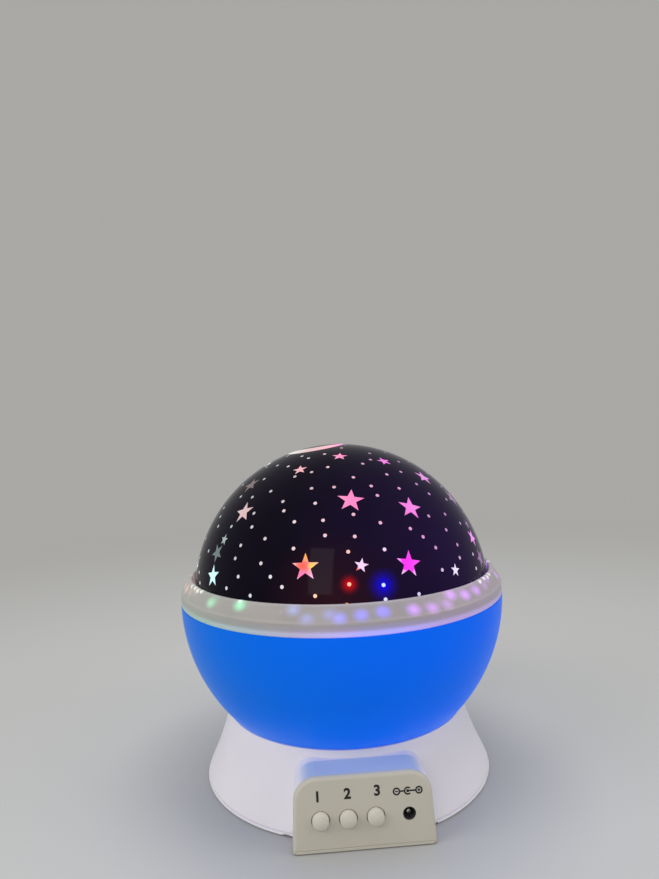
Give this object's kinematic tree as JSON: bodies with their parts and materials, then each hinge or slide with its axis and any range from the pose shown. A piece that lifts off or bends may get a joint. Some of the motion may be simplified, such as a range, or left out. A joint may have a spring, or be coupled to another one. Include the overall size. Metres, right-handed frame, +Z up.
{
  "type": "star night light projector",
  "caption": "Ball-shaped star projector night light: pierced dark dome on a frosted collar and a translucent bowl that turns on a white base with a push-button pod.",
  "frame": {"origin": "on the floor under the ball's axis", "axes": "+Z up along the ball's axis, -Y toward the control pod, +X to the right seen from the pod"},
  "size_m": [0.13, 0.13, 0.1305],
  "materials": {
    "white_abs": "satin moulded",
    "white_button": "smooth",
    "blue_translucent": "translucent blue, smooth",
    "collar_clear": "frosted clear",
    "dome_clear": "clear",
    "dome_black": "high gloss black",
    "rubber_foot": "matt",
    "zinc_screw": "zinc plated",
    "motor_steel": "satin",
    "contact_steel": "nickel plated",
    "cell_wrap": "shrink sleeve",
    "board_green": "solder mask",
    "board_white": "white solder mask",
    "black_plastic": "matt black",
    "pin_brass": "nickelled brass",
    "nylon_white": "natural nylon",
    "inner_white": "moulded",
    "led_red": "clear epoxy, red lamp",
    "led_green": "clear epoxy, green lamp",
    "led_blue": "clear epoxy, blue lamp",
    "led_warm": "clear epoxy, warm white lamp",
    "wire_pvc": "wire sleeve"
  },
  "bodies": {
    "base": {"base_housing": "white_abs", "base_plate": "white_abs", "foot_pads": "rubber_foot", "base_screws": "zinc_screw", "tact_switches": "black_plastic", "control_board": "board_green", "board_screws": "zinc_screw", "dc_jack": "black_plastic", "dc_pin": "pin_brass", "aaa_cells": "cell_wrap", "cell_contacts": "contact_steel", "chassis_plate": "inner_white", "chassis_screws": "zinc_screw", "motor_can": "motor_steel", "motor_screws": "zinc_screw", "lamp_post": "inner_white", "thrust_washer": "nylon_white", "lamp_holder": "inner_white", "lamp_board": "board_white", "lamp_wires": "wire_pvc", "led_blue": "led_blue", "led_green": "led_green", "led_warm": "led_warm", "led_red": "led_red"},
    "battery_door": {"battery_door": "white_abs"},
    "left_button": {"button_1": "white_button", "switch_plunger_1": "black_plastic"},
    "middle_button": {"button_2": "white_button", "switch_plunger_2": "black_plastic"},
    "right_button": {"button_3": "white_button", "switch_plunger_3": "black_plastic"},
    "ball": {"bowl_shell": "blue_translucent", "collar_ring": "collar_clear", "drive_gear": "nylon_white", "hub_screws": "zinc_screw"},
    "pinion": {"motor_shaft": "motor_steel", "motor_pinion": "nylon_white"},
    "dome": {"dome_shell": "dome_clear", "star_mask": "dome_black"}
  },
  "joints": [
    {"name": "ball_spin", "type": "hinge", "parent": "base", "child": "ball", "pos_m": [0, 0, 0.0263], "axis": [0, 0, 1], "continuous": true},
    {"name": "pinion_spin", "type": "hinge", "parent": "base", "child": "pinion", "pos_m": [-0.01416, -0.02663, 0.018], "axis": [0, 0, 1], "continuous": true},
    {"name": "dome_lift", "type": "slide", "parent": "ball", "child": "dome", "axis": [0, 0, 1], "range_m": [0, 0.065]},
    {"name": "battery_door_slide", "type": "slide", "parent": "base", "child": "battery_door", "axis": [0, 1, 0], "range_m": [0, 0.052]},
    {"name": "left_button_press", "type": "slide", "parent": "base", "child": "left_button", "axis": [0, 0.9962, -0.0872], "range_m": [0, 0.0005], "stiffness_N_per_m": 800, "springref_m": -0.0004},
    {"name": "middle_button_press", "type": "slide", "parent": "base", "child": "middle_button", "axis": [0, 0.9962, -0.0872], "range_m": [0, 0.0005], "stiffness_N_per_m": 800, "springref_m": -0.0004},
    {"name": "right_button_press", "type": "slide", "parent": "base", "child": "right_button", "axis": [0, 0.9962, -0.0872], "range_m": [0, 0.0005], "stiffness_N_per_m": 800, "springref_m": -0.0004}
  ],
  "couplings": [
    {"joint": "pinion_spin", "follows": "ball_spin", "ratio": -2.75}
  ]
}
